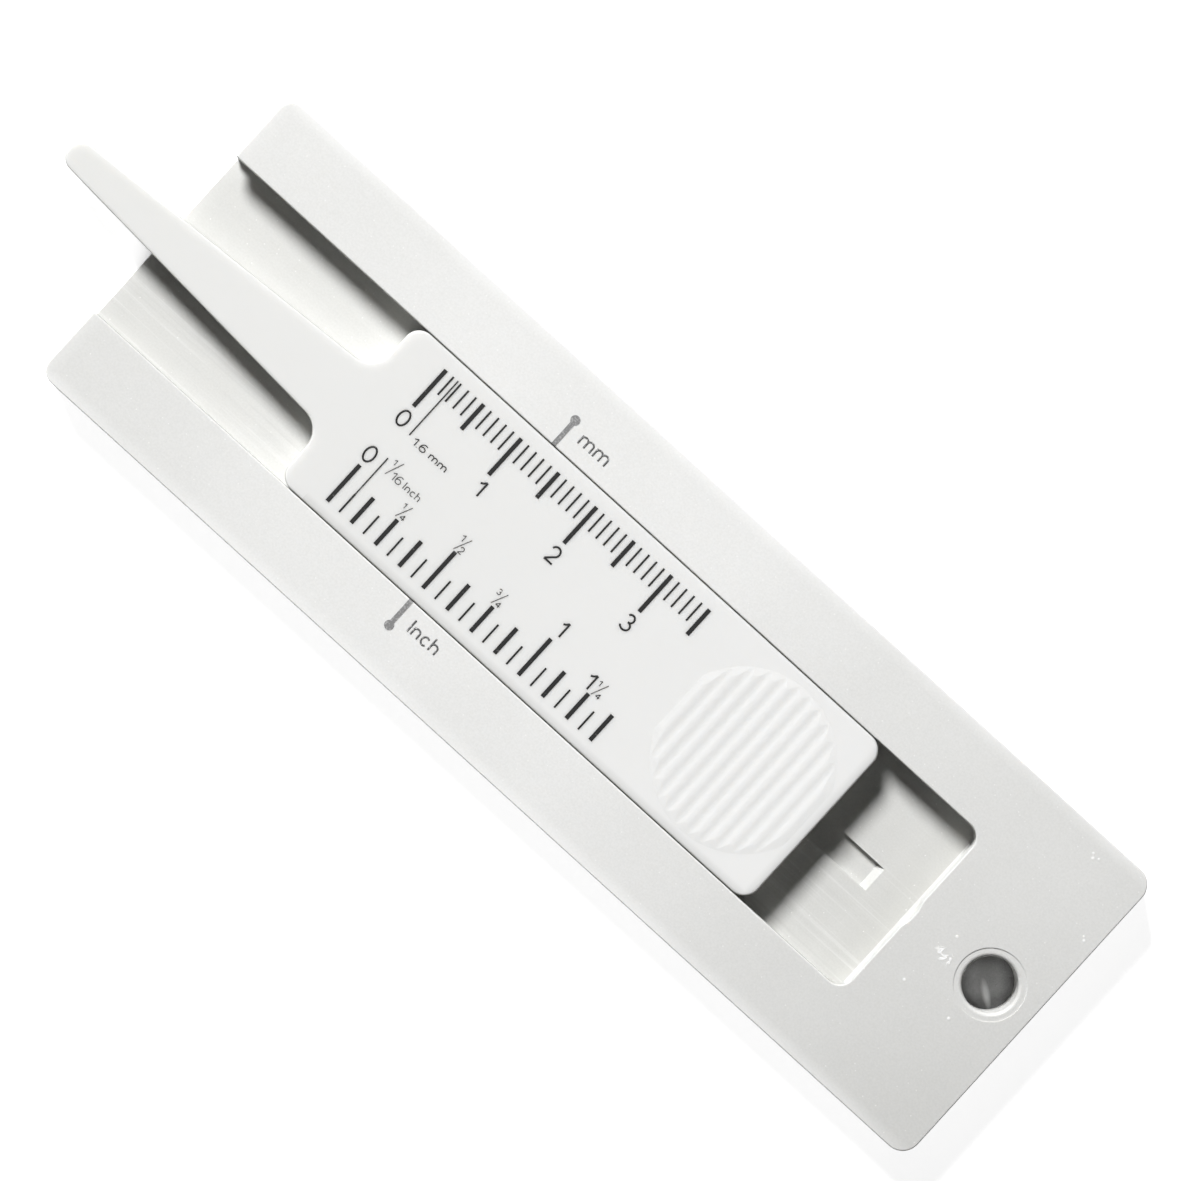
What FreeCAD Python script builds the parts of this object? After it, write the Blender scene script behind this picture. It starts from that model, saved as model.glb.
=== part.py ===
import FreeCAD, Part
import math
import os

# Tire tread depth gauge: a channelled body, and a slider in it that ends in a tapered probe.
# Lengths are millimetres. X runs along the gauge with the probe towards -X, and Z is up.
# The origin is the centre of the body's underside. The slider is drawn at its rest reading.

# Measuring
INCH = 25.4
measuring_range = 35.0
inch_marks = 22               # sixteenths of an inch on the inch scale
rest_reading = INCH / 2       # the reading at which the slider is drawn

# Slider: probe, head and thumb grip
probe_tip_width = 3.0
probe_tip_radius = 1.5
probe_root_width = 7.6
probe_root_radius = 2.5
shoulder_setback = 2.0        # of the head's shoulders behind the front face at full reach
shoulder_radius = 1.7
slider_rear_radius = 1.8
slider_edge_radius = 0.2
scale_margin = 5.18           # from the shoulders to the zero mark
grip_gap = 3.17               # from the last mark to the grip
grip_edge_margin = 1.0        # from the grip's circle to the slider's side
grip_to_rear = 9.6            # from the grip's centre to the slider's rear end
grip_ribs = 11
grip_pitch = 1.55
grip_crown_width = 0.95       # of each rib's rounded crown; the hollow between two ribs takes the rest
grip_crown_rise = 0.035
grip_hollow_rise = 0.02
grip_lift = 0.015             # of the hollows above the head's face
grip_end_slope = 0.9          # run of the sloping ends of the ribs
grip_root = 0.4               # depth to which the field of ribs is merged into the head
slider_skin = 1.6             # above the slider's cores
slider_wall = 1.6             # round the slider's cores
slider_spine = 4.6            # width of the solid spine along the slider's middle
slider_core_rows = 4
slider_core_radius = 0.6

# Body: channel, rails and the land behind the channel
channel_width = 20.7
channel_floor = 2.2
channel_corner_radius = 1.6
rail_width = 8.05
rear_land = 15.7
body_thickness = 6.0
front_corner_radius = 1.6
rear_corner_radius = 2.0
body_edge_radius = 0.15
wall_notch_width = 3.2        # shallow notch in the channel's rear wall
wall_notch_depth = 0.26
wall_notch_flank = 1.0
wall_notch_radius = 0.9

# Running fits between slider and body
side_clearance = 0.1
floor_clearance = 0.1
end_clearance = 0.1
bead_clearance = 0.12         # beside and behind the bead
bead_tip_clearance = 0.1

# Bead along each side of the slider, and the undercut groove that holds it down
bead_reach = 0.5
bead_root_height = 1.4
bead_tip_height = 0.6
bead_inset = 2.4              # from each end of the slider's straight side

# Key under the slider, and the guide groove in the channel's floor that stops it
groove_width = 2.8
groove_depth = 0.7
groove_ramp = 0.8
groove_to_wall = 4.65         # from the groove's rear end to the channel's rear wall
key_length = 4.0
key_side_clearance = 0.1
key_stop_clearance = 0.15

# Cores that hollow the body from below
body_skin = 2.2               # above the cores
outer_wall = 1.8
rail_inner_wall = 1.6         # between the undercut groove and a rail's cores
land_wall = 2.0               # between the channel's rear wall and the land's cores
core_rib = 1.2
rail_cores = 5
core_radius = 0.8

# Key-ring hole
hole_radius = 2.8
hole_rear_margin = 5.3        # from the hole's centre to the body's rear edge
hole_edge_radius = 0.4
ring_radius = 3.66            # shallow round recess round the hole
ring_depth = 0.08
boss_wall = 2.2

# Print
ink = 0.04                    # thickness of the printed layer
thin_line = 0.2
thick_line = 0.44
mark_inset = 1.55             # from the slider's side to the marks' outer ends
short_mark = 2.35
middle_mark = 3.3
long_mark = 4.8
wear_limit = 1.6
wear_line = 0.14
wear_line_inner = 1.55        # from the slider's middle to a wear line's inner end
index_line = 0.49
index_length = 3.1
index_wrap = 60.0             # degrees of the channel's rounded edge that the index line covers
index_dot_radius = 0.5

# Derived sizes
probe_length = measuring_range + shoulder_setback
slider_width = channel_width - 2 * side_clearance
grip_radius = slider_width / 2 - grip_edge_margin
grip_height = grip_lift + grip_hollow_rise + grip_crown_rise
head_length = scale_margin + measuring_range + grip_gap + grip_radius + grip_to_rear
slider_length = probe_length + head_length
channel_length = slider_length + end_clearance
body_length = channel_length + rear_land
body_width = channel_width + 2 * rail_width

# Derived places along X
front = -body_length / 2
rear = body_length / 2
rear_wall = rear - rear_land
tip = front - rest_reading
shoulder = tip + probe_length
slider_rear = tip + slider_length
index_x = front + probe_length + scale_margin
zero_mark = shoulder + scale_margin
grip_x = slider_rear - grip_to_rear
hole_x = rear - hole_rear_margin

# Derived heights
slider_bottom = channel_floor + floor_clearance
bead_z = (slider_bottom + body_thickness) / 2
undercut_reach = bead_reach + bead_tip_clearance
undercut_depth = undercut_reach - side_clearance

# Room that a cutter takes beyond the surface it opens
over = 1.0


def corner_arc(before, corner, after, radius):
    """The arc that rounds a corner: its start, middle and end."""
    back = (before - corner).normalize()
    ahead = (after - corner).normalize()
    half_angle = back.getAngle(ahead) / 2
    reach = radius / math.tan(half_angle)
    bisector = (back + ahead).normalize()
    middle = corner + bisector * (radius / math.sin(half_angle) - radius)
    return corner + back * reach, middle, corner + ahead * reach


def outline(corners):
    """A closed flat wire through corners of x, y and radius. A radius of 0 leaves the corner sharp."""
    points = [FreeCAD.Vector(x, y, 0) for x, y, radius in corners]
    count = len(corners)
    arcs = []
    for i in range(count):
        radius = corners[i][2]
        if radius:
            arcs.append(corner_arc(points[i - 1], points[i], points[(i + 1) % count], radius))
        else:
            arcs.append((points[i],) * 3)
    edges = []
    for i in range(count):
        start, middle, end = arcs[i]
        if corners[i][2]:
            edges.append(Part.Arc(start, middle, end).toShape())
        next_start = arcs[(i + 1) % count][0]
        edges.append(Part.LineSegment(end, next_start).toShape())
    return Part.Wire(edges)


def prism(wire, z0, z1):
    """A solid that stands on a flat wire, from one height to another."""
    solid = Part.Face(wire).extrude(FreeCAD.Vector(0, 0, z1 - z0))
    solid.translate(FreeCAD.Vector(0, 0, z0))
    return solid


def mirrored_corners(half):
    """An outline symmetrical about the X axis, from its corners on the +Y side."""
    return half + [(x, -y, radius) for x, y, radius in reversed(half)]


def pocket(x0, x1, y0, y1, z0, z1, radius):
    """A box with rounded upright edges."""
    corners = [(x0, y0, radius), (x1, y0, radius), (x1, y1, radius), (x0, y1, radius)]
    return prism(outline(corners), z0, z1)


def box(x0, x1, y0, y1, z0, z1):
    return Part.makeBox(x1 - x0, y1 - y0, z1 - z0, FreeCAD.Vector(x0, y0, z0))


def level_edges(solid, z):
    """The edges of a solid that lie wholly at one height."""
    return [edge for edge in solid.Edges
            if abs(edge.BoundBox.ZMin - z) < 1e-6 and abs(edge.BoundBox.ZMax - z) < 1e-6]


def both_sides(solid):
    """A solid and its mirror image across the gauge's long axis."""
    return [solid, solid.mirror(FreeCAD.Vector(0, 0, 0), FreeCAD.Vector(0, 1, 0))]


def side_bead(x0, x1, clearance, reach):
    """A tapered bead along the slider's +Y side. With a clearance it is the groove's cutter."""
    side = slider_width / 2
    slope = (bead_root_height - bead_tip_height) / 2 / bead_reach
    root = bead_root_height / 2 + clearance
    end = root - slope * reach
    profile = [(side, bead_z - root), (side + reach, bead_z - end),
               (side + reach, bead_z + end), (side, bead_z + root)]
    points = [FreeCAD.Vector(x0, y, z) for y, z in profile]
    section = Part.Face(Part.makePolygon(points + points[:1]))
    return section.extrude(FreeCAD.Vector(x1 - x0, 0, 0))


def ramped_bar(x0, x1, width, z0, z1, ramp):
    """A bar along X whose rear end slopes: ramp is how much shorter it is at the bottom."""
    points = [FreeCAD.Vector(x0, -width / 2, z1), FreeCAD.Vector(x1, -width / 2, z1),
              FreeCAD.Vector(x1 - ramp, -width / 2, z0), FreeCAD.Vector(x0, -width / 2, z0)]
    section = Part.Face(Part.makePolygon(points + points[:1]))
    return section.extrude(FreeCAD.Vector(0, width, 0))


def channel():
    """The cutter of the channel, open at the front, with the shallow notch in its rear wall."""
    half = channel_width / 2
    notch = wall_notch_width / 2
    deep = rear_wall + wall_notch_depth
    side = [
        (front - over, half, 0),
        (rear_wall, half, channel_corner_radius),
        (rear_wall, notch, wall_notch_radius),
        (deep, notch - wall_notch_flank, wall_notch_radius),
    ]
    return prism(outline(mirrored_corners(side)), channel_floor, body_thickness + over)


def key_ring_hole():
    """The cutter of the through-hole, its rounded upper edge and the ring round it."""
    ring_floor = body_thickness - ring_depth
    edge_start = FreeCAD.Vector(hole_radius, 0, ring_floor - hole_edge_radius)
    edge_end = FreeCAD.Vector(hole_radius + hole_edge_radius, 0, ring_floor)
    lean = hole_edge_radius * (1 - math.sqrt(0.5))
    edge_middle = FreeCAD.Vector(hole_radius + lean, 0, ring_floor - lean)
    below = [FreeCAD.Vector(0, 0, body_thickness + over), FreeCAD.Vector(0, 0, -over),
             FreeCAD.Vector(hole_radius, 0, -over), edge_start]
    above = [edge_end, FreeCAD.Vector(ring_radius, 0, ring_floor),
             FreeCAD.Vector(ring_radius, 0, body_thickness + over), below[0]]
    edges = list(Part.makePolygon(below).Edges)
    edges.append(Part.Arc(edge_start, edge_middle, edge_end).toShape())
    edges += Part.makePolygon(above).Edges
    cutter = Part.Face(Part.Wire(edges)).revolve(FreeCAD.Vector(), FreeCAD.Vector(0, 0, 1), 360)
    cutter.translate(FreeCAD.Vector(hole_x, 0, 0))
    return cutter


def rail_core_cutters():
    """One row of cores along the underside of each rail."""
    inner = channel_width / 2 + undercut_depth + rail_inner_wall
    outer = body_width / 2 - outer_wall
    start = front + outer_wall
    end = rear_wall + land_wall - core_rib
    length = (end - start - (rail_cores - 1) * core_rib) / rail_cores
    cutters = []
    for i in range(rail_cores):
        x = start + i * (length + core_rib)
        core = pocket(x, x + length, inner, outer, -over, body_thickness - body_skin, core_radius)
        cutters += both_sides(core)
    return cutters


def land_core_cutters():
    """The cores under the land: one round the hole's boss and one on each side of it."""
    boss_radius = hole_radius + boss_wall
    middle = boss_radius + core_rib
    outer = body_width / 2 - outer_wall
    start = rear_wall + land_wall
    end = rear - outer_wall
    roof = body_thickness - body_skin
    boss = Part.makeCylinder(boss_radius, roof + over, FreeCAD.Vector(hole_x, 0, -over))
    tie = box(start, hole_x, -core_rib / 2, core_rib / 2, -over, roof)
    centre_core = pocket(start, end, -middle, middle, -over, roof, core_radius).cut([boss, tie])
    side_core = pocket(start, end, middle + core_rib, outer, -over, roof, core_radius)
    return [centre_core] + both_sides(side_core)


def make_body():
    """The body moulding."""
    half = body_width / 2
    side = [(front, half, front_corner_radius), (rear, half, rear_corner_radius)]
    body = prism(outline(mirrored_corners(side)), 0, body_thickness)
    body = body.cut(channel())
    body = body.makeFillet(body_edge_radius, level_edges(body, body_thickness))
    # The undercut groove is open at the front, where the slider's beads enter it.
    undercut_end = slider_rear + rest_reading - bead_inset + bead_clearance
    undercut = side_bead(front - over, undercut_end, bead_clearance, undercut_reach)
    groove_rear = rear_wall - groove_to_wall
    key_front = groove_rear - key_stop_clearance - key_length - measuring_range
    groove_bottom = channel_floor - groove_depth
    guide = ramped_bar(key_front - key_stop_clearance, groove_rear, groove_width,
                       groove_bottom, channel_floor, groove_ramp)
    cutters = both_sides(undercut) + [guide, key_ring_hole()]
    cutters += rail_core_cutters() + land_core_cutters()
    return body.cut(cutters)


def slider_core_cutters():
    """Cores in two rows under the slider's head, one each side of its spine."""
    start = shoulder + slider_wall
    end = slider_rear - slider_wall
    length = (end - start - (slider_core_rows - 1) * slider_wall) / slider_core_rows
    inner = slider_spine / 2
    outer = slider_width / 2 - slider_wall
    cutters = []
    for i in range(slider_core_rows):
        x = start + i * (length + slider_wall)
        core = pocket(x, x + length, inner, outer, slider_bottom - over,
                      body_thickness - slider_skin, slider_core_radius)
        cutters += both_sides(core)
    return cutters


def thumb_grip():
    """Low rounded ribs with hollows between them, cut to a round field with sloping edges."""
    root = body_thickness - grip_root
    hollow = body_thickness + grip_lift
    flank = hollow + grip_hollow_rise
    crest = body_thickness + grip_height
    first = grip_x - (grip_ribs - 1) / 2 * grip_pitch
    last = first + (grip_ribs - 1) * grip_pitch

    def point(x, z):
        return FreeCAD.Vector(x, -grip_radius, z)

    edges = []
    for i in range(grip_ribs):
        x = first + i * grip_pitch
        left = point(x - grip_crown_width / 2, flank)
        right = point(x + grip_crown_width / 2, flank)
        edges.append(Part.Arc(left, point(x, crest), right).toShape())
        if i < grip_ribs - 1:
            next_left = point(x + grip_pitch - grip_crown_width / 2, flank)
            edges.append(Part.Arc(right, point(x + grip_pitch / 2, hollow), next_left).toShape())
    below = [
        point(last + grip_crown_width / 2, flank),
        point(last + grip_pitch / 2, hollow),
        point(last + grip_pitch / 2, root),
        point(first - grip_pitch / 2, root),
        point(first - grip_pitch / 2, hollow),
        point(first - grip_crown_width / 2, flank),
    ]
    edges += Part.makePolygon(below).Edges
    ribs = Part.Face(Part.Wire(edges)).extrude(FreeCAD.Vector(0, 2 * grip_radius, 0))
    field = Part.makeCylinder(grip_radius, grip_root, FreeCAD.Vector(grip_x, 0, root))
    slope = Part.makeCone(grip_radius, grip_radius - grip_end_slope, grip_height,
                          FreeCAD.Vector(grip_x, 0, body_thickness))
    return ribs.common(field.fuse(slope))


def make_slider():
    """The slider moulding: probe, head, side beads, key and thumb grip."""
    half = slider_width / 2
    side = [
        (tip, probe_tip_width / 2, probe_tip_radius),
        (shoulder, probe_root_width / 2, probe_root_radius),
        (shoulder, half, shoulder_radius),
        (slider_rear, half, slider_rear_radius),
    ]
    slider = prism(outline(mirrored_corners(side)), slider_bottom, body_thickness)
    slider = slider.makeFillet(slider_edge_radius, level_edges(slider, body_thickness))
    bead = side_bead(shoulder + bead_inset, slider_rear - bead_inset, 0, bead_reach)
    # At rest the key stands one rest reading ahead of its stop at the groove's rear end.
    key_rear = rear_wall - groove_to_wall - key_stop_clearance - rest_reading
    key_bottom = channel_floor - groove_depth + floor_clearance
    ramp = groove_ramp * (slider_bottom - key_bottom) / groove_depth
    key = ramped_bar(key_rear - key_length, key_rear, groove_width - 2 * key_side_clearance,
                     key_bottom, slider_bottom, ramp)
    slider = slider.fuse(both_sides(bead) + [key, thumb_grip()])
    return slider.cut(slider_core_cutters()).removeSplitter()


def mark(x, y0, y1, width):
    """One printed line across the slider at x."""
    low, high = sorted((y0, y1))
    return box(x - width / 2, x + width / 2, low, high, body_thickness, body_thickness + ink)


def scale_mark(x, side, length, width):
    """One graduation that starts at the marks' outer end on one side of the slider."""
    outer = slider_width / 2 - mark_inset
    return mark(x, side * outer, side * (outer - length), width)


def make_metric_graduations():
    """Millimetre marks, longer at each five and longest at each ten."""
    marks = []
    for millimetre in range(int(measuring_range) + 1):
        length, width = short_mark, thin_line
        if millimetre % 5 == 0:
            length, width = middle_mark, thick_line
        if millimetre % 10 == 0:
            length = long_mark
        marks.append(scale_mark(zero_mark + millimetre, 1, length, width))
    return Part.makeCompound(marks)


def make_inch_graduations():
    """Sixteenths of an inch, longer at each eighth and longest at each half."""
    marks = []
    for sixteenth in range(inch_marks + 1):
        length, width = short_mark, thin_line
        if sixteenth % 2 == 0:
            length, width = middle_mark, thick_line
        if sixteenth % 8 == 0:
            length = long_mark
        marks.append(scale_mark(zero_mark + sixteenth * INCH / 16, -1, length, width))
    return Part.makeCompound(marks)


def make_wear_limit_lines():
    """The thin lines at the wear limit: one through the metric scale, one down to the first sixteenth."""
    outer = slider_width / 2 - mark_inset
    metric = mark(zero_mark + wear_limit, wear_line_inner, outer, wear_line)
    inch = mark(zero_mark + INCH / 16, -wear_line_inner, short_mark - outer, wear_line)
    return Part.makeCompound([metric, inch])


def make_index_mark():
    """The fixed mark on the +Y rail: a line that comes up over the channel's rounded edge to a dot."""
    edge = channel_width / 2 + body_edge_radius
    left = index_x - index_line / 2

    def over_edge(radius, angle):
        turn = math.radians(angle)
        return FreeCAD.Vector(left, edge - radius * math.sin(turn),
                              body_thickness - body_edge_radius + radius * math.cos(turn))

    def rounded(radius):
        start, middle, end = [over_edge(radius, index_wrap * share) for share in (0, 0.5, 1)]
        return Part.Arc(start, middle, end).toShape()

    upper = body_edge_radius + ink
    end = FreeCAD.Vector(left, edge + index_length, body_thickness)
    flat = Part.makePolygon([over_edge(body_edge_radius, 0), end, end + FreeCAD.Vector(0, 0, ink),
                             over_edge(upper, 0)])
    tip_edge = Part.makePolygon([over_edge(upper, index_wrap), over_edge(body_edge_radius, index_wrap)])
    section = Part.Wire(flat.Edges + [rounded(upper)] + tip_edge.Edges + [rounded(body_edge_radius)])
    line = Part.Face(section).extrude(FreeCAD.Vector(index_line, 0, 0))
    dot_centre = FreeCAD.Vector(index_x, edge + index_length, body_thickness)
    dot = Part.makeCylinder(index_dot_radius, ink, dot_centre)
    return line.fuse(dot).removeSplitter()


metric_index_mark, inch_index_mark = both_sides(make_index_mark())

nodes = {
    "body": make_body(),
    "slider": make_slider(),
    "metric_graduations": make_metric_graduations(),
    "inch_graduations": make_inch_graduations(),
    "wear_limit_lines": make_wear_limit_lines(),
    "metric_index_mark": metric_index_mark,
    "inch_index_mark": inch_index_mark,
}

os.makedirs("parts", exist_ok=True)
for name, shape in nodes.items():
    shape.exportStep("parts/" + name + ".step")
    bounds = shape.BoundBox
    low = [round(value, 3) for value in (bounds.XMin, bounds.YMin, bounds.ZMin)]
    high = [round(value, 3) for value in (bounds.XMax, bounds.YMax, bounds.ZMax)]
    print(name, "solids", len(shape.Solids), "valid", shape.isValid(),
          "volume", round(shape.Volume, 3), "from", low, "to", high)
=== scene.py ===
import math

import bpy
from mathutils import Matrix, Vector


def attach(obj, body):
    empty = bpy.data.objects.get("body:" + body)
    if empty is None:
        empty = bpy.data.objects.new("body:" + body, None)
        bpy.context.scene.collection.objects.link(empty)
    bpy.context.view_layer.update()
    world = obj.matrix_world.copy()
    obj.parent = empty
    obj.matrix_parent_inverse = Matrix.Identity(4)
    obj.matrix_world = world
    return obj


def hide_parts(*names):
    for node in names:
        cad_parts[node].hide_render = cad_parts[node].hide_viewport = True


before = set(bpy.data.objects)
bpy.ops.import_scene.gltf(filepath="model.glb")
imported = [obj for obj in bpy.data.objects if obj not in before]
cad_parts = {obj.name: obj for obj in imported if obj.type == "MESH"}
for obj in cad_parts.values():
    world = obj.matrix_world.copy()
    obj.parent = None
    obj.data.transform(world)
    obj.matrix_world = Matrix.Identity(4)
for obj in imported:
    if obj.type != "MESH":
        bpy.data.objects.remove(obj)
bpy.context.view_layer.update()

# Tire tread depth gauge: two white ABS mouldings with pad-printed scales, seen from straight above.
# The sizes below are millimetres and Blender's are metres. X runs along the gauge with the probe
# towards -X, and Z is up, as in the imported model.

MM = 0.001
INCH = 25.4

# Places on the body, from its middle and its underside
body_side = 18.4
front_face = -57.5
top_face = 6.0
channel_side = 10.35
channel_floor = 2.2
rear_wall = 41.8              # of the channel

# Places on the slider at rest
slider_side = 10.25
slider_rear = 29.0
shoulder_end = -30.0          # from here to the rear its sides are straight
zero_mark = -28.02
marks_outer_end = 8.7         # from the slider's middle
grip_crest = 6.07
ink = 0.03                    # thickness of the lettering's print

# Camera: straight above, turned so that the probe points to the upper left
camera_place = (-2.955, 2.224, 588.0)
camera_turn = 42.3            # degrees
camera_lens = 180.46          # on a 36 mm sensor

# Light: one soft lamp ahead of the gauge on its metric side
lamp_direction = Vector((-0.621, 0.393, 0.679))
lamp_distance = 1.3           # metres
lamp_width = 0.4              # metres
lamp_power = 27.8             # watts; lights the upper faces so that their colour renders as written
fill_strength = 0.002         # of the light from all round
floor_glow = 0.9              # of the table in the open, where 1 is white

# A short streak of painted light on the table, seen through the key-ring hole
streak_place = (53.0, -0.95)
streak_turn = -36.4           # degrees
streak_stretch = 3.5          # length as a share of width


def linear(hex_colour):
    """An sRGB hex colour as linear red, green, blue and alpha."""
    values = [int(hex_colour[i:i + 2], 16) / 255 for i in (1, 3, 5)]
    return [v / 12.92 if v <= 0.04045 else ((v + 0.055) / 1.055) ** 2.4 for v in values] + [1.0]


def per_metre(size):
    """The scale of a pattern whose repeat is that many millimetres."""
    return 1 / (size * MM)


def add(tree, kind, inputs=None, **settings):
    """Adds a node with its settings. An input is given as a constant or as the socket that feeds it."""
    node = tree.nodes.new(kind)
    for name, value in settings.items():
        setattr(node, name, value)
    for key, value in (inputs or {}).items():
        if isinstance(value, bpy.types.NodeSocket):
            tree.links.new(value, node.inputs[key])
        else:
            node.inputs[key].default_value = value
    return node


# Materials

def new_material(name):
    """A material with its shader, and the place on the object in metres that its patterns read."""
    material = bpy.data.materials.new(name)
    material.use_nodes = True
    tree = material.node_tree
    tree.nodes.clear()
    shader = add(tree, "ShaderNodeBsdfPrincipled")
    add(tree, "ShaderNodeOutputMaterial", {"Surface": shader.outputs["BSDF"]})
    place = add(tree, "ShaderNodeTexCoord").outputs["Object"]
    return material, tree, shader, place


def set_plastic(shader, depth):
    """What both mouldings share: ABS refracts at 1.53, and light spreads in it by up to a millimetre or
    so, the depth."""
    shader.inputs["IOR"].default_value = 1.53
    shader.inputs["Specular IOR Level"].default_value = 0.26
    shader.inputs["Subsurface Weight"].default_value = 0.85
    shader.inputs["Subsurface Radius"].default_value = (1.0, 0.97, 0.93)
    shader.inputs["Subsurface Scale"].default_value = depth * MM


def shade_channel(tree, axes, channel_tone):
    """The tone with painted shade in the channel: darker on the floor and in its groove, most of all on the
    floor against the rear wall, and darker still on the side walls. It also gives the node that is 1 on
    the floor."""
    between_rails = add(tree, "ShaderNodeMath", {0: axes.outputs["Y"], 1: 0.0,
                                                 2: (channel_side + 0.55) * MM}, operation="COMPARE")
    before_wall = add(tree, "ShaderNodeMath", {0: axes.outputs["X"], 1: (rear_wall - 0.2) * MM},
                      operation="LESS_THAN")
    in_channel = add(tree, "ShaderNodeMath", {0: between_rails.outputs[0], 1: before_wall.outputs[0]},
                     operation="MULTIPLY")
    on_floor = add(tree, "ShaderNodeMath", {0: axes.outputs["Z"], 1: channel_floor * MM, 2: 0.05 * MM},
                   operation="COMPARE")
    in_groove = add(tree, "ShaderNodeMath", {0: axes.outputs["Z"], 1: (channel_floor - 0.4) * MM,
                                             2: 0.45 * MM}, operation="COMPARE")
    wall_shade_mask = add(tree, "ShaderNodeMath", {0: axes.outputs["Z"], 1: (channel_floor + 1.8) * MM,
                                            2: 1.75 * MM}, operation="COMPARE")
    by_rear_wall = add(tree, "ShaderNodeMapRange", {"Value": axes.outputs["X"],
                                            "From Min": (rear_wall - 4.3) * MM,
                                            "From Max": (rear_wall - 0.2) * MM})
    # Painted shade: the channel's floor and groove, its side walls, and its floor by the rear wall are
    # darkened
    for height, share, tint in ((in_groove, None, "#F5F5F4"), (wall_shade_mask, None, "#DADAD9"),
                                (on_floor, by_rear_wall, "#EEEEED")):
        place_share = add(tree, "ShaderNodeMath", {0: in_channel.outputs[0], 1: height.outputs[0]},
                          operation="MULTIPLY")
        if share:
            place_share = add(tree, "ShaderNodeMath", {0: place_share.outputs[0], 1: share.outputs[0]},
                              operation="MULTIPLY")
        mixed = add(tree, "ShaderNodeMix", {0: place_share.outputs[0], 6: channel_tone, 7: linear(tint)},
                    data_type="RGBA", blend_type="MULTIPLY")
        channel_tone = mixed.outputs[2]
    return channel_tone, on_floor


def drag_floor(tree, place, axes, on_floor, channel_tone):
    """The tone with drag lines along the channel's floor, less than half a millimetre apart: dark and
    light, and stronger on the inch side. It also gives the node with the dark lines' strength."""
    stretched = add(tree, "ShaderNodeMapping", {"Vector": place, "Scale": (0.015, 1.0, 1.0)})
    lines = add(tree, "ShaderNodeTexNoise", {"Vector": stretched.outputs[0], "Scale": per_metre(0.4),
                                             "Detail": 3.0})
    inch_side = add(tree, "ShaderNodeMapRange", {"Value": axes.outputs["Y"], "From Min": 4 * MM,
                                                 "From Max": -3 * MM, "To Min": 0.2, "To Max": 1.0})
    wear = add(tree, "ShaderNodeMath", {0: on_floor.outputs[0], 1: inch_side.outputs[0]},
               operation="MULTIPLY")
    dark_line = add(tree, "ShaderNodeMapRange", {"Value": lines.outputs["Fac"], "From Min": 0.55,
                                                 "From Max": 0.72, "To Max": 0.25})
    drag = add(tree, "ShaderNodeMath", {0: dark_line.outputs[0], 1: wear.outputs[0]},
               operation="MULTIPLY")
    light_line = add(tree, "ShaderNodeMapRange", {"Value": lines.outputs["Fac"], "From Min": 0.42,
                                                  "From Max": 0.3, "To Max": 0.25})
    light_line = add(tree, "ShaderNodeMath", {0: light_line.outputs[0], 1: wear.outputs[0]},
                     operation="MULTIPLY")
    dragged_tone = add(tree, "ShaderNodeMix", {0: drag.outputs[0], 6: channel_tone,
                                               7: linear("#BCBCBA")}, data_type="RGBA")
    dragged_tone = add(tree, "ShaderNodeMix", {0: light_line.outputs[0], 6: dragged_tone.outputs[2],
                                               7: linear("#F4F4F3")}, data_type="RGBA")
    return dragged_tone, drag


def scuff_and_nick(tree, place):
    """The node that is 1 on the marks of the upper face."""
    # The scuff: a thin raised scribble beside the ring, where a key has rubbed
    from_scuff = add(tree, "ShaderNodeVectorMath", {0: place, 1: (47.1 * MM, -0.9 * MM, top_face * MM)},
                     operation="SUBTRACT")
    in_scuff = add(tree, "ShaderNodeVectorMath", {0: from_scuff.outputs[0], 1: (1 / 1.5, 1 / 0.8, 1.0)},
                   operation="MULTIPLY")
    scuff_reach = add(tree, "ShaderNodeVectorMath", {0: in_scuff.outputs[0]}, operation="LENGTH")
    scuff_area = add(tree, "ShaderNodeMapRange", {"Value": scuff_reach.outputs["Value"],
                                                  "From Min": 1.0 * MM, "From Max": 0.6 * MM})
    scribble = add(tree, "ShaderNodeTexNoise", {"Vector": place, "Scale": per_metre(0.9), "Detail": 1.0,
                                                "Distortion": 0.8})
    from_contour = add(tree, "ShaderNodeMath", {0: scribble.outputs["Fac"], 1: 0.5},
                       operation="SUBTRACT")
    from_contour = add(tree, "ShaderNodeMath", {0: from_contour.outputs[0]}, operation="ABSOLUTE")
    contour = add(tree, "ShaderNodeMapRange", {"Value": from_contour.outputs[0], "From Min": 0.05,
                                               "From Max": 0.02})
    mark = add(tree, "ShaderNodeMath", {0: contour.outputs[0], 1: scuff_area.outputs[0]},
               operation="MULTIPLY")

    # Nicks where something hard has hit the rear land
    for x, y, size in ((45.6, -5.3, 0.2), (51.4, -5.2, 0.2), (46.6, 1.3, 0.2), (51.0, 16.4, 0.16),
                       (51.3, 16.0, 0.2), (51.8, 16.3, 0.14), (56.1, 9.4, 0.18), (55.8, 9.7, 0.14)):
        distance = add(tree, "ShaderNodeVectorMath", {0: place, 1: (x * MM, y * MM, top_face * MM)},
                       operation="DISTANCE")
        nick = add(tree, "ShaderNodeMapRange", {"Value": distance.outputs["Value"],
                                                "From Min": size * MM, "From Max": 0.4 * size * MM})
        mark = add(tree, "ShaderNodeMath", {0: mark.outputs[0], 1: nick.outputs[0]}, operation="MAXIMUM")
    return mark


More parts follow.
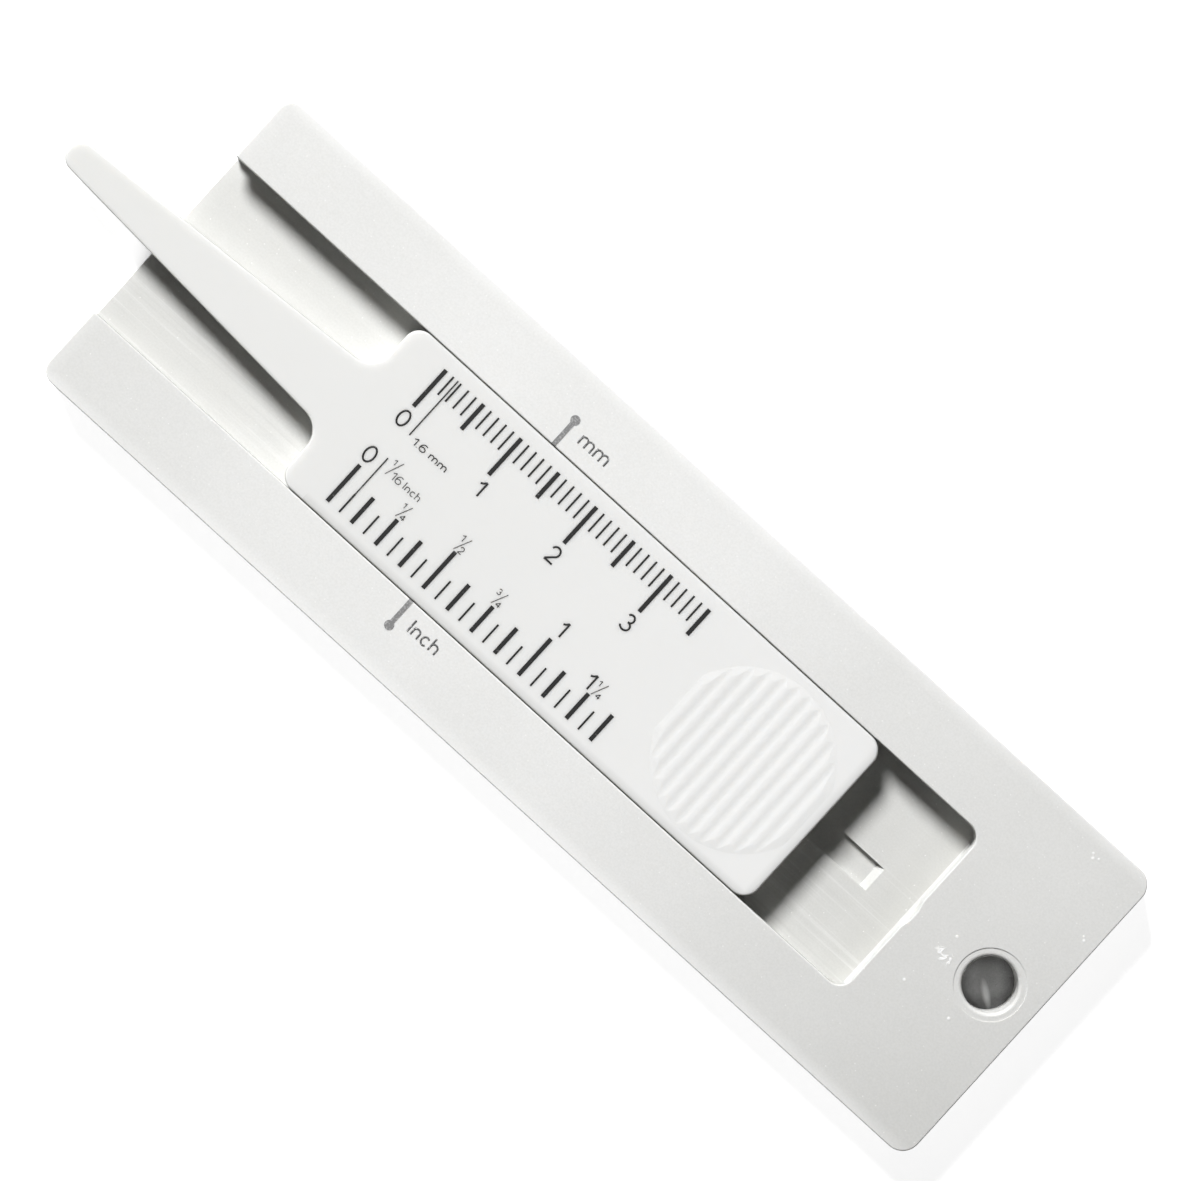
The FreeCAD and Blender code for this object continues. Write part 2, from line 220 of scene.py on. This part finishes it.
def make_body_plastic():
    """White ABS, injection moulded against a finely spark-eroded mould: an even satin white whose pitted
    grain blurs every reflection. It is slightly uneven in tone, with painted shade inside the channel, at
    both ends and on the inch side, and painted light along its long edges and front edge. It has drag lines
    on the channel's floor, and specks, nicks and a scuff on its upper face."""
    material, tree, shader, place = new_material("spark_eroded_white_abs")
    set_plastic(shader, 0.2)
    axes = add(tree, "ShaderNodeSeparateXYZ", {"Vector": place})

    # Clouds of tone a centimetre or two across, from uneven cooling in the mould, under the grain's own
    # tone. The grain is about 0.05 mm in reality, drawn at 0.22 mm so that it shows.
    clouds = add(tree, "ShaderNodeTexNoise", {"Vector": place, "Scale": per_metre(16), "Detail": 3.0})
    grain = add(tree, "ShaderNodeTexNoise", {"Vector": place, "Scale": per_metre(0.22), "Detail": 3.0})
    cloud_share = add(tree, "ShaderNodeMath", {0: clouds.outputs["Fac"], 1: 0.5, 2: -0.15},
                      operation="MULTIPLY_ADD")
    tone_share = add(tree, "ShaderNodeMath", {0: grain.outputs["Fac"], 1: 0.8, 2: cloud_share.outputs[0]},
                     operation="MULTIPLY_ADD")
    moulded_tone = add(tree, "ShaderNodeMix", {0: tone_share.outputs[0], 6: linear("#DADAD8"),
                                               7: linear("#EDEDEC")}, data_type="RGBA")
    # Painted shade: both ends are a little greyer, more so on the inch side
    from_middle = add(tree, "ShaderNodeMath", {0: axes.outputs["X"], 1: 8 * MM}, operation="ADD")
    from_middle = add(tree, "ShaderNodeMath", {0: from_middle.outputs[0]}, operation="ABSOLUTE")
    end_shade = add(tree, "ShaderNodeMapRange", {"Value": from_middle.outputs[0], "From Min": 15 * MM,
                                               "From Max": 62 * MM})
    inch_side_shade = add(tree, "ShaderNodeMapRange", {"Value": axes.outputs["Y"], "From Min": 12 * MM,
                                                 "From Max": -12 * MM, "To Min": 0.55, "To Max": 1.0})
    end_shade = add(tree, "ShaderNodeMath", {0: end_shade.outputs[0], 1: inch_side_shade.outputs[0]},
                  operation="MULTIPLY")
    end_shaded_tone = add(tree, "ShaderNodeMix", {0: end_shade.outputs[0], 6: moulded_tone.outputs[2],
                                               7: linear("#EDEDEC")}, data_type="RGBA",
                       blend_type="MULTIPLY")
    # Painted light: the long edges and the front edge are lighter, as glare off the white surroundings
    off_centre_line = add(tree, "ShaderNodeMath", {0: axes.outputs["Y"]}, operation="ABSOLUTE")
    long_edge = add(tree, "ShaderNodeMapRange", {"Value": off_centre_line.outputs[0],
                                                 "From Min": (body_side - 1.4) * MM,
                                                 "From Max": body_side * MM, "To Max": 0.7})
    front_edge = add(tree, "ShaderNodeMapRange", {"Value": axes.outputs["X"],
                                                  "From Min": (front_face + 1.5) * MM,
                                                  "From Max": front_face * MM, "To Max": 0.35})
    edge = add(tree, "ShaderNodeMath", {0: long_edge.outputs[0], 1: front_edge.outputs[0]},
               operation="MAXIMUM")
    edge = add(tree, "ShaderNodeMath", {0: edge.outputs[0], 1: clouds.outputs["Fac"]},
               operation="MULTIPLY")
    glare_lit_tone = add(tree, "ShaderNodeMix", {0: edge.outputs[0], 6: end_shaded_tone.outputs[2],
                                             7: linear("#F8F8F7")}, data_type="RGBA")

    channel_tone, on_floor = shade_channel(tree, axes, glare_lit_tone.outputs[2])
    dragged_tone, drag = drag_floor(tree, place, axes, on_floor, channel_tone)
    mark = scuff_and_nick(tree, place)

    # Faint specks under a fifth of a millimetre across, where the grain's tips have been polished off
    cells = add(tree, "ShaderNodeTexVoronoi", {"Vector": place, "Scale": per_metre(0.9)})
    speck = add(tree, "ShaderNodeMapRange", {"Value": cells.outputs["Distance"], "From Min": 0.1,
                                             "From Max": 0.05, "To Max": 0.45})
    light_share = add(tree, "ShaderNodeMath", {0: mark.outputs[0], 1: speck.outputs[0]},
                      operation="MAXIMUM")
    worn_tone = add(tree, "ShaderNodeMix", {0: light_share.outputs[0], 6: dragged_tone.outputs[2],
                                            7: linear("#FDFDFC")}, data_type="RGBA")
    tree.links.new(worn_tone.outputs[2], shader.inputs["Base Color"])

    rough = add(tree, "ShaderNodeMapRange", {"Value": grain.outputs["Fac"], "From Min": 0.3,
                                             "From Max": 0.7, "To Min": 0.4, "To Max": 0.52})
    smoother = add(tree, "ShaderNodeMath", {0: drag.outputs[0], 1: -0.2, 2: rough.outputs[0]},
                   operation="MULTIPLY_ADD")
    tree.links.new(smoother.outputs[0], shader.inputs["Roughness"])
    raised = add(tree, "ShaderNodeMath", {0: mark.outputs[0], 1: 6.0, 2: grain.outputs["Fac"]},
                 operation="MULTIPLY_ADD")
    raised = add(tree, "ShaderNodeMath", {0: drag.outputs[0], 1: -1.0, 2: raised.outputs[0]},
                 operation="MULTIPLY_ADD")
    bump = add(tree, "ShaderNodeBump", {"Height": raised.outputs[0], "Distance": 0.004 * MM})
    tree.links.new(bump.outputs[0], shader.inputs["Normal"])
    return material


def make_slider_plastic():
    """White ABS, injection moulded against a smoother, stoned mould: satin with a soft highlight along its
    rounded edges, very even in tone, a little greyer towards the probe's tip, with painted shade along its
    rear edge, its edge on the inch side and its sides, and polished by the thumb on the crests of the grip."""
    material, tree, shader, place = new_material("stoned_white_abs")
    set_plastic(shader, 1.1)
    axes = add(tree, "ShaderNodeSeparateXYZ", {"Vector": place})
    clouds = add(tree, "ShaderNodeTexNoise", {"Vector": place, "Scale": per_metre(20), "Detail": 2.0})
    tone = add(tree, "ShaderNodeMix", {0: clouds.outputs["Fac"], 6: linear("#E6E6E5"),
                                       7: linear("#ECECEB")}, data_type="RGBA")
    greyed = add(tree, "ShaderNodeMapRange", {"Value": axes.outputs["X"], "From Min": 25 * MM,
                                              "From Max": -70 * MM})
    tone = add(tree, "ShaderNodeMix", {0: greyed.outputs[0], 6: tone.outputs[2], 7: linear("#DCDCDA")},
               data_type="RGBA")
    # Painted shade: the rear edge and the edge on the inch side, which face away from the lamp, are greyer
    # over their last millimetre, and the sides are darker from just below the upper face down
    behind_shoulder = add(tree, "ShaderNodeMath", {0: axes.outputs["X"], 1: shoulder_end * MM},
                          operation="GREATER_THAN")
    inch_edge = add(tree, "ShaderNodeMapRange", {"Value": axes.outputs["Y"],
                                                 "From Min": (0.95 - slider_side) * MM,
                                                 "From Max": (0.05 - slider_side) * MM})
    inch_edge = add(tree, "ShaderNodeMath", {0: inch_edge.outputs[0], 1: behind_shoulder.outputs[0]},
                    operation="MULTIPLY")
    rear_edge = add(tree, "ShaderNodeMapRange", {"Value": axes.outputs["X"],
                                                 "From Min": (slider_rear - 1.0) * MM,
                                                 "From Max": (slider_rear - 0.1) * MM})
    edge_shade_share = add(tree, "ShaderNodeMath", {0: inch_edge.outputs[0], 1: rear_edge.outputs[0]},
                   operation="MAXIMUM")
    side = add(tree, "ShaderNodeMapRange", {"Value": axes.outputs["Z"],
                                            "From Min": (top_face - 0.003) * MM,
                                            "From Max": (top_face - 0.09) * MM})
    for share, tint in ((edge_shade_share, "#EDEDEC"), (side, "#D8D8D6")):
        tone = add(tree, "ShaderNodeMix", {0: share.outputs[0], 6: tone.outputs[2], 7: linear(tint)},
                   data_type="RGBA", blend_type="MULTIPLY")
    tree.links.new(tone.outputs[2], shader.inputs["Base Color"])
    # The stoning leaves marks of about 0.02 mm, drawn at 0.3 mm so that they show
    texture = add(tree, "ShaderNodeTexNoise", {"Vector": place, "Scale": per_metre(0.3), "Detail": 2.0})
    polish = add(tree, "ShaderNodeMapRange", {"Value": axes.outputs["Z"],
                                              "From Min": (top_face + 0.02) * MM,
                                              "From Max": grip_crest * MM, "To Min": 0.36,
                                              "To Max": 0.26})
    rough = add(tree, "ShaderNodeMath", {0: texture.outputs["Fac"], 1: 0.06, 2: polish.outputs[0]},
                operation="MULTIPLY_ADD")
    tree.links.new(rough.outputs[0], shader.inputs["Roughness"])
    bump = add(tree, "ShaderNodeBump", {"Height": texture.outputs["Fac"], "Distance": 0.0015 * MM})
    tree.links.new(bump.outputs[0], shader.inputs["Normal"])
    return material


def make_ink(name, ink_colour, thin_colour, cover, spot):
    """Pad-printing ink: a thin dull film. The pad leaves it uneven, with small spots where the plastic
    shows through: cover is the share of the pattern that stays full ink, and spot the spots' size."""
    material, tree, shader, place = new_material(name)
    shader.inputs["IOR"].default_value = 1.5
    shader.inputs["Specular IOR Level"].default_value = 0.3
    spots = add(tree, "ShaderNodeTexNoise", {"Vector": place, "Scale": per_metre(spot), "Detail": 3.0})
    thin = add(tree, "ShaderNodeMapRange", {"Value": spots.outputs["Fac"], "From Min": cover,
                                            "From Max": cover + 0.14})
    tone = add(tree, "ShaderNodeMix", {0: thin.outputs[0], 6: linear(ink_colour), 7: linear(thin_colour)},
               data_type="RGBA")
    tree.links.new(tone.outputs[2], shader.inputs["Base Color"])
    rough = add(tree, "ShaderNodeMapRange", {"Value": spots.outputs["Fac"], "To Min": 0.45,
                                             "To Max": 0.6})
    tree.links.new(rough.outputs[0], shader.inputs["Roughness"])
    return material


body_plastic = make_body_plastic()
slider_plastic = make_slider_plastic()
scale_ink = make_ink("pad_printed_black_ink", "#161616", "#606060", 0.66, 0.35)
caption_ink = make_ink("pad_printed_thin_black_ink", "#262626", "#808080", 0.58, 0.35)
fraction_ink = make_ink("pad_printed_faint_black_ink", "#3A3A3A", "#989898", 0.54, 0.3)
index_ink = make_ink("pad_printed_grey_ink", "#7E7E7E", "#A6A6A6", 0.5, 0.2)
label_ink = make_ink("pad_printed_worn_ink", "#5A5A5A", "#B0B0B0", 0.53, 0.25)


def dress(node, material):
    """Gives a CAD node its material."""
    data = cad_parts[node].data
    for i in range(len(data.materials)):
        data.materials[i] = material


dress("body", body_plastic)
dress("slider", slider_plastic)
dress("wear_limit_lines", caption_ink)
dress("metric_index_mark", index_ink)
dress("inch_index_mark", index_ink)


# Geometry Nodes

def new_tree(name, wanted):
    """A Geometry Nodes tree with named inputs: each is a socket type and what it starts as."""
    tree = bpy.data.node_groups.new(name, "GeometryNodeTree")
    tree.interface.new_socket("Geometry", in_out="OUTPUT", socket_type="NodeSocketGeometry")
    tree.interface.new_socket("Geometry", in_out="INPUT", socket_type="NodeSocketGeometry")
    for label, kind in wanted:
        tree.interface.new_socket(label, in_out="INPUT", socket_type="NodeSocket" + kind)
    start = add(tree, "NodeGroupInput").outputs
    return tree, start


def finish_tree(tree, geometry, material):
    """Ends a tree with real geometry that has its material."""
    real = add(tree, "GeometryNodeRealizeInstances", {0: geometry})
    painted = add(tree, "GeometryNodeSetMaterial", {0: real.outputs[0], "Material": material})
    add(tree, "NodeGroupOutput", {0: painted.outputs[0]})


def grown(name, source, tree, values, body):
    """The plain mesh that a tree makes of a source, as a piece that rides on a body."""
    maker = bpy.data.objects.new(name + "_maker", source)
    bpy.context.scene.collection.objects.link(maker)
    modifier = maker.modifiers.new("maker", "NODES")
    modifier.node_group = tree
    for item in tree.interface.items_tree:
        if item.in_out == "INPUT" and item.name in values:
            modifier[item.identifier] = values[item.name]
    made = maker.evaluated_get(bpy.context.evaluated_depsgraph_get())
    mesh = bpy.data.meshes.new_from_object(made)
    maker.modifiers.clear()
    bpy.data.objects.remove(maker)
    piece = bpy.data.objects.new(name, mesh)
    bpy.context.scene.collection.objects.link(piece)
    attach(piece, body)
    return piece


# Graduations: one tree prints either scale.

def make_graduation_tree():
    """Marks at even steps along X, all with their outer ends in line."""
    tree, start = new_tree("graduations", [
        ("Count", "Int"), ("Step", "Float"), ("First mark", "Float"), ("Side", "Float"),
        ("Outer end", "Float"), ("Short mark", "Float"), ("Middle mark", "Float"),
        ("Long mark", "Float"), ("Thin line", "Float"), ("Thick line", "Float"),
        ("Middle every", "Int"), ("Long every", "Int"), ("Face height", "Float"),
        ("Ink thickness", "Float"), ("Ink", "Material")])
    first = add(tree, "ShaderNodeCombineXYZ", {"X": start["First mark"]})
    step = add(tree, "ShaderNodeCombineXYZ", {"X": start["Step"]})
    line = add(tree, "GeometryNodeMeshLine", {"Count": start["Count"], "Start Location": first.outputs[0],
                                              "Offset": step.outputs[0]})
    index = add(tree, "GeometryNodeInputIndex")
    left_over = add(tree, "ShaderNodeMath", {0: index.outputs[0], 1: start["Middle every"]},
                    operation="MODULO")
    is_middle = add(tree, "FunctionNodeCompare", {0: left_over.outputs[0], 1: 0.5},
                    data_type="FLOAT", operation="LESS_THAN")
    left_over = add(tree, "ShaderNodeMath", {0: index.outputs[0], 1: start["Long every"]},
                    operation="MODULO")
    is_long = add(tree, "FunctionNodeCompare", {0: left_over.outputs[0], 1: 0.5},
                  data_type="FLOAT", operation="LESS_THAN")
    width = add(tree, "GeometryNodeSwitch", {"Switch": is_middle.outputs[0], "False": start["Thin line"],
                                             "True": start["Thick line"]}, input_type="FLOAT")
    length = add(tree, "GeometryNodeSwitch", {"Switch": is_middle.outputs[0], "False": start["Short mark"],
                                              "True": start["Middle mark"]}, input_type="FLOAT")
    length = add(tree, "GeometryNodeSwitch", {"Switch": is_long.outputs[0], "False": length.outputs[0],
                                              "True": start["Long mark"]}, input_type="FLOAT")
    middle = add(tree, "ShaderNodeMath", {0: length.outputs[0], 1: -0.5, 2: start["Outer end"]},
                 operation="MULTIPLY_ADD")
    middle = add(tree, "ShaderNodeMath", {0: middle.outputs[0], 1: start["Side"]}, operation="MULTIPLY")
    height = add(tree, "ShaderNodeMath", {0: start["Ink thickness"], 1: 0.5, 2: start["Face height"]},
                 operation="MULTIPLY_ADD")
    offset = add(tree, "ShaderNodeCombineXYZ", {"Y": middle.outputs[0], "Z": height.outputs[0]})
    placed = add(tree, "GeometryNodeSetPosition", {0: line.outputs[0], "Offset": offset.outputs[0]})
    size = add(tree, "ShaderNodeCombineXYZ", {"X": width.outputs[0], "Y": length.outputs[0],
                                              "Z": start["Ink thickness"]})
    block = add(tree, "GeometryNodeMeshCube")
    marks = add(tree, "GeometryNodeInstanceOnPoints", {0: placed.outputs[0],
                                                       "Instance": block.outputs[0],
                                                       "Scale": size.outputs[0]})
    finish_tree(tree, marks.outputs[0], start["Ink"])
    return tree


graduation_tree = make_graduation_tree()
shared = {"First mark": zero_mark * MM, "Outer end": marks_outer_end * MM, "Short mark": 2.35 * MM,
          "Middle mark": 3.3 * MM, "Long mark": 4.8 * MM, "Thin line": 0.2 * MM,
          "Thick line": 0.44 * MM, "Face height": top_face * MM, "Ink thickness": ink * MM,
          "Ink": scale_ink}
metric_scale = grown("metric_scale", bpy.data.meshes.new("no_metric_source"), graduation_tree,
                     {**shared, "Count": 36, "Step": 1.0 * MM, "Side": 1.0, "Middle every": 5,
                      "Long every": 10}, "slider")
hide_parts("metric_graduations")
inch_scale = grown("inch_scale", bpy.data.meshes.new("no_inch_source"), graduation_tree,
                   {**shared, "Count": 23, "Step": INCH / 16 * MM, "Side": -1.0, "Middle every": 2,
                    "Long every": 8}, "slider")
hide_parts("inch_graduations")


# Lettering: each character is drawn as pen strokes, and a tree sweeps the pen's width along them.

def arc(x, y, across, up, first, last):
    """Points along part of an ellipse, between two angles in degrees."""
    steps = 18
    angles = [math.radians(first + (last - first) * i / steps) for i in range(steps + 1)]
    return [(x + across * math.cos(angle), y + up * math.sin(angle)) for angle in angles]


small = 0.63                  # height of a small letter, as a share of a capital's
arch = arc(0.21, small - 0.21, 0.21, 0.21, 180, 0)

# Strokes of each character, as shares of the height of a capital, and its width
strokes = {
    "0": ([arc(0.32, 0.5, 0.32, 0.5, 90, 450)], 0.64),
    "1": ([[(0.0, 0.73), (0.16, 0.83), (0.31, 0.985)], [(0.33, 1.0), (0.33, 0.0)]], 0.33),
    "2": ([arc(0.3, 0.69, 0.29, 0.31, 165, -38) + [(0.02, 0.02)], [(0.0, 0.0), (0.62, 0.0)]], 0.62),
    "3": ([arc(0.28, 0.75, 0.24, 0.25, 155, -90), arc(0.28, 0.25, 0.31, 0.27, 90, -155)], 0.59),
    "4": ([[(0.44, 1.0), (0.44, 0.0)], [(0.43, 0.97), (0.0, 0.33)], [(0.0, 0.31), (0.62, 0.31)]], 0.62),
    "6": ([arc(0.31, 0.3, 0.3, 0.3, 0, 360), arc(0.4, 0.42, 0.39, 0.58, 62, 195)], 0.61),
    "I": ([[(0.0, 0.0), (0.0, 1.0)]], 0.0),
    "m": ([[(0.0, 0.0), (0.0, small)], arch + [(0.42, 0.0)],
           [(x + 0.42, y) for x, y in arch] + [(0.84, 0.0)]], 0.84),
    "n": ([[(0.0, 0.0), (0.0, small)], arch + [(0.42, 0.0)]], 0.42),
    "h": ([[(0.0, 0.0), (0.0, 1.0)], arch + [(0.42, 0.0)]], 0.42),
    "c": ([arc(0.22, small / 2, 0.22, small / 2, 48, 312)], 0.4),
    ".": ([[(0.0, -0.03), (0.0, 0.05)]], 0.0),
    "/": ([[(0.0, 0.0), (0.42, 1.0)]], 0.42),
    " ": ([], 0.12),
}
letter_gap = 0.24


def word(text, left, right, low, high, pen):
    """The strokes of a word that fills the box from left to right, with capitals from low to high."""
    laid = []
    cursor = 0.0
    for character in text:
        lines, width = strokes[character]
        laid += [[(cursor + x, y) for x, y in points] for points in lines]
        cursor += width + letter_gap
    total = max(cursor - letter_gap, 0.01)
    stretch = (right - left - pen) / total
    rise = high - low - pen
    return [[(left + pen / 2 + x * stretch, low + pen / 2 + y * rise) for x, y in points]
            for points in laid]


def words(pen, boxes):
    """The strokes of several words: each text is given with its left, right, low and high."""
    return [points for text, *box in boxes for points in word(text, *box, pen)]


def make_lettering_tree():
    """Sweeps a flat pen stroke along every line of the source."""
    tree, start = new_tree("lettering", [("Pen width", "Float"), ("Ink thickness", "Float"),
                                         ("Ink", "Material")])
    upright = add(tree, "GeometryNodeSetCurveNormal", {0: start["Geometry"]}, mode="Z_UP")
    pen = add(tree, "GeometryNodeCurvePrimitiveQuadrilateral", {"Width": start["Pen width"],
                                                                "Height": start["Ink thickness"]})
    swept = add(tree, "GeometryNodeCurveToMesh", {"Curve": upright.outputs[0],
                                                  "Profile Curve": pen.outputs[0], "Fill Caps": True})
    finish_tree(tree, swept.outputs[0], start["Ink"])
    return tree


lettering_tree = make_lettering_tree()


def letter(name, lines, pen, material, body):
    """Prints strokes on a body's upper face. Each lies a little higher, so that none share a surface."""
    source = bpy.data.curves.new(name + "_strokes", "CURVE")
    source.dimensions = "3D"
    for i, points in enumerate(lines):
        spline = source.splines.new("POLY")
        spline.points.add(len(points) - 1)
        height = top_face + ink / 2 + i * 0.0002
        for point, (x, y) in zip(spline.points, points):
            point.co = (x * MM, y * MM, height * MM, 1.0)
    return grown(name, source, lettering_tree, {"Pen width": pen * MM, "Ink thickness": ink * MM,
                                                "Ink": material}, body)


def along(lines, x):
    """Strokes moved along the gauge."""
    return [[(x + across, y) for across, y in points] for points in lines]


def fraction(x, slash, top_figure, top_box, low_figure, low_box, pen):
    """A small fraction beside a mark: the slash's two ends, and a figure with its box on each side."""
    lines = [list(slash)]
    lines += word(top_figure, *top_box, pen)
    lines += word(low_figure, *low_box, pen)
    return along(lines, x)


numeral_pen = 0.2
fraction_pen = 0.085
caption_pen = 0.11
label_pen = 0.18

one_inch = zero_mark + INCH
last_inch = zero_mark + 1.25 * INCH

letter("metric_numerals", words(numeral_pen, (
    ("0", zero_mark - 0.6, zero_mark + 0.7, 1.45, 3.33),
    ("1", zero_mark + 9.85, zero_mark + 10.63, 1.45, 3.33),
    ("2", zero_mark + 19.38, zero_mark + 20.62, 1.45, 3.33),
    ("3", zero_mark + 29.3, zero_mark + 30.5, 1.45, 3.33),
)), numeral_pen, scale_ink, "slider")

letter("inch_numerals", words(numeral_pen, (
    ("0", zero_mark - 0.65, zero_mark + 0.65, -3.4, -1.51),
    ("1", one_inch - 0.17, one_inch + 0.53, -3.35, -1.47),
    ("1", last_inch - 1.13, last_inch - 0.34, -5.3, -3.4),
)), numeral_pen, scale_ink, "slider")

# The two quarters share their slash and the place of the 4
quarter_slash = ((-0.44, -5.25), (0.35, -3.55))
quarter_low = (-0.05, 0.53, -5.25, -4.6)
letter("inch_fractions", [points for place, *figures in (
    (zero_mark + INCH / 4, quarter_slash, "1", (-0.56, -0.27, -4.2, -3.55), "4", quarter_low),
    (zero_mark + 0.75 * INCH, quarter_slash, "3", (-0.72, -0.27, -4.2, -3.55), "4", quarter_low),
    (zero_mark + INCH / 2, ((-0.39, -3.82), (0.46, -1.98)), "1", (-0.56, -0.2, -2.77, -1.98),
     "2", (0.06, 0.59, -3.82, -3.03)),
    (last_inch, ((0.18, -5.28), (0.97, -3.5)), "1", (0.0, 0.3, -4.2, -3.55),
     "4", (0.58, 1.15, -5.3, -4.65)),
) for points in fraction(place, *figures, fraction_pen)],
       fraction_pen, fraction_ink, "slider")

letter("metric_wear_caption", words(caption_pen, (
    ("1.6 mm", zero_mark + 2.22, zero_mark + 6.62, 1.05, 1.92),
)), caption_pen, caption_ink, "slider")

wear_slash = [(zero_mark + 2.37, -2.88), (zero_mark + 3.15, -0.91)]
letter("inch_wear_caption", [
    *words(fraction_pen, (("1", zero_mark + 2.22, zero_mark + 2.53, -1.7, -1.04),)),
    wear_slash,
    *words(fraction_pen, (("16", zero_mark + 2.95, zero_mark + 4.19, -2.9, -2.0),
                          ("Inch", zero_mark + 4.58, zero_mark + 6.63, -2.85, -2.0))),
], fraction_pen, fraction_ink, "slider")

letter("metric_label", words(label_pen, (("mm", -13.74, -10.17, 12.0, 12.0 + 1.08 / small),)),
       label_pen, label_ink, "body")
letter("inch_label", words(label_pen, (("Inch", -13.7, -10.06, -12.97, -11.38),)),
       label_pen, label_ink, "body")


# Floor, light and camera

def white_behind(tree):
    """1 for what the camera sees, also in a reflection or through glass, and 0 for light on the object."""
    path = add(tree, "ShaderNodeLightPath")
    seen = add(tree, "ShaderNodeMath", {0: path.outputs["Is Camera Ray"], 1: path.outputs["Is Glossy Ray"]},
               operation="MAXIMUM")
    seen = add(tree, "ShaderNodeMath", {0: seen.outputs[0], 1: path.outputs["Is Transmission Ray"]},
               operation="MAXIMUM")
    return seen.outputs[0]


def make_floor():
    """A white table. Its glow lifts it to clear white in the open, where the lamp reaches it, and leaves
    the gauge's shadow faint. Deep in the key-ring hole there is no glow, and its tone is painted darker as
    shade, with a short streak of painted light."""
    reach = 1.5
    depth = -0.02 * MM
    mesh = bpy.data.meshes.new("floor")
    mesh.from_pydata([(-reach, -reach, depth), (reach, -reach, depth), (reach, reach, depth),
                      (-reach, reach, depth)], [], [(0, 1, 2, 3)])
    floor = bpy.data.objects.new("floor", mesh)
    bpy.context.scene.collection.objects.link(floor)
    material = bpy.data.materials.new("white_table")
    material.use_nodes = True
    tree = material.node_tree
    tree.nodes.clear()
    # Painted shade: the table's tone is darkened where it is hemmed in, most of all deep in the key-ring
    # hole; painted light: a short streak on it there
    openness = add(tree, "ShaderNodeAmbientOcclusion", {"Distance": 15 * MM}, samples=16)
    hemmed_in_shade = add(tree, "ShaderNodeMapRange", {"Value": openness.outputs["AO"], "From Min": 0.3,
                                            "From Max": 0.15})
    place = add(tree, "ShaderNodeTexCoord").outputs["Object"]
    streak = add(tree, "ShaderNodeMapping", {
        "Vector": place, "Location": (streak_place[0] * MM, streak_place[1] * MM, 0),
        "Rotation": (0, 0, math.radians(streak_turn)), "Scale": (streak_stretch, 1, 1)},
        vector_type="TEXTURE")
    from_streak = add(tree, "ShaderNodeVectorMath", {0: streak.outputs[0]}, operation="LENGTH")
    in_light_streak = add(tree, "ShaderNodeMapRange", {"Value": from_streak.outputs["Value"],
                                                 "From Min": 0.48 * MM, "From Max": 0.15 * MM})
    hole_shade_and_streak_tone = add(tree, "ShaderNodeMix", {0: in_light_streak.outputs[0], 6: linear("#707070"),
                                            7: linear("#FAFAFA")}, data_type="RGBA")
    tone = add(tree, "ShaderNodeMix", {0: hemmed_in_shade.outputs[0], 6: linear("#E8E8E8"), 7: hole_shade_and_streak_tone.outputs[2]},
               data_type="RGBA")
    matt = add(tree, "ShaderNodeBsdfDiffuse", {"Color": tone.outputs[2]})
    glow = add(tree, "ShaderNodeMapRange", {"Value": openness.outputs["AO"], "From Min": 0.22,
                                            "From Max": 0.42, "To Max": floor_glow})
    glow = add(tree, "ShaderNodeMath", {0: glow.outputs[0], 1: white_behind(tree)}, operation="MULTIPLY")
    light = add(tree, "ShaderNodeEmission", {"Strength": glow.outputs[0]})
    both = add(tree, "ShaderNodeAddShader", {0: matt.outputs[0], 1: light.outputs[0]})
    add(tree, "ShaderNodeOutputMaterial", {"Surface": both.outputs[0]})
    mesh.materials.append(material)


def make_world():
    """White all round to the eye, with little light of its own."""
    world = bpy.data.worlds.new("studio")
    world.use_nodes = True
    tree = world.node_tree
    tree.nodes.clear()
    strength = add(tree, "ShaderNodeMapRange", {"Value": white_behind(tree), "To Min": fill_strength,
                                                "To Max": 1.0})
    sky = add(tree, "ShaderNodeBackground", {"Strength": strength.outputs[0]})
    add(tree, "ShaderNodeOutputWorld", {"Surface": sky.outputs[0]})
    bpy.context.scene.world = world


def make_lamp():
    """The soft lamp, aimed at the middle of the gauge."""
    data = bpy.data.lights.new("soft_lamp", "AREA")
    data.shape = "DISK"
    data.size = lamp_width
    data.energy = lamp_power
    lamp = bpy.data.objects.new("soft_lamp", data)
    lamp.location = lamp_direction.normalized() * lamp_distance
    lamp.rotation_euler = lamp_direction.to_track_quat("Z", "Y").to_euler()
    bpy.context.scene.collection.objects.link(lamp)


def make_camera():
    """The camera, looking straight down."""
    data = bpy.data.cameras.new("camera")
    data.sensor_width = 36.0
    data.lens = camera_lens
    camera = bpy.data.objects.new("camera", data)
    camera.location = [value * MM for value in camera_place]
    camera.rotation_euler = (0, 0, math.radians(camera_turn))
    bpy.context.scene.collection.objects.link(camera)
    bpy.context.scene.camera = camera


make_floor()
make_world()
make_lamp()
make_camera()
bpy.context.scene.view_settings.view_transform = "Standard"
